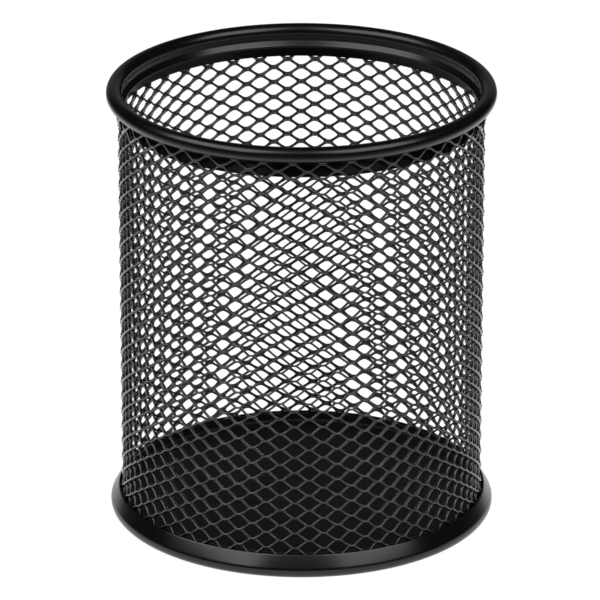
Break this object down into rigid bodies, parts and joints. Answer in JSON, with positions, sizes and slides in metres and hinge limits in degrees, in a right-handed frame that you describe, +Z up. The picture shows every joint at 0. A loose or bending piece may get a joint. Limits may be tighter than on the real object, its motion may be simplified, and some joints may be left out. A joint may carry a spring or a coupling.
{
  "type": "pen holder",
  "caption": "Round open-topped pen cup: a black expanded-metal sleeve between a rolled top rim and a rolled base ring, with a sheet floor, that stands on a desk and holds pens.",
  "frame": {"origin": "on the cup's axis, on the desk it stands on", "axes": "+Z up along the cup's axis, -Y the front, +X to the right seen from the front"},
  "size_m": [0.086, 0.086, 0.1],
  "materials": {
    "rim_coat": "semi-gloss black powder coat",
    "mesh_coat": "semi-gloss black powder coat",
    "floor_coat": "semi-gloss black powder coat"
  },
  "bodies": {
    "root": {"mesh_sleeve": "mesh_coat", "top_rim": "rim_coat", "base_ring": "rim_coat", "floor_pan": "floor_coat"}
  },
  "joints": []
}
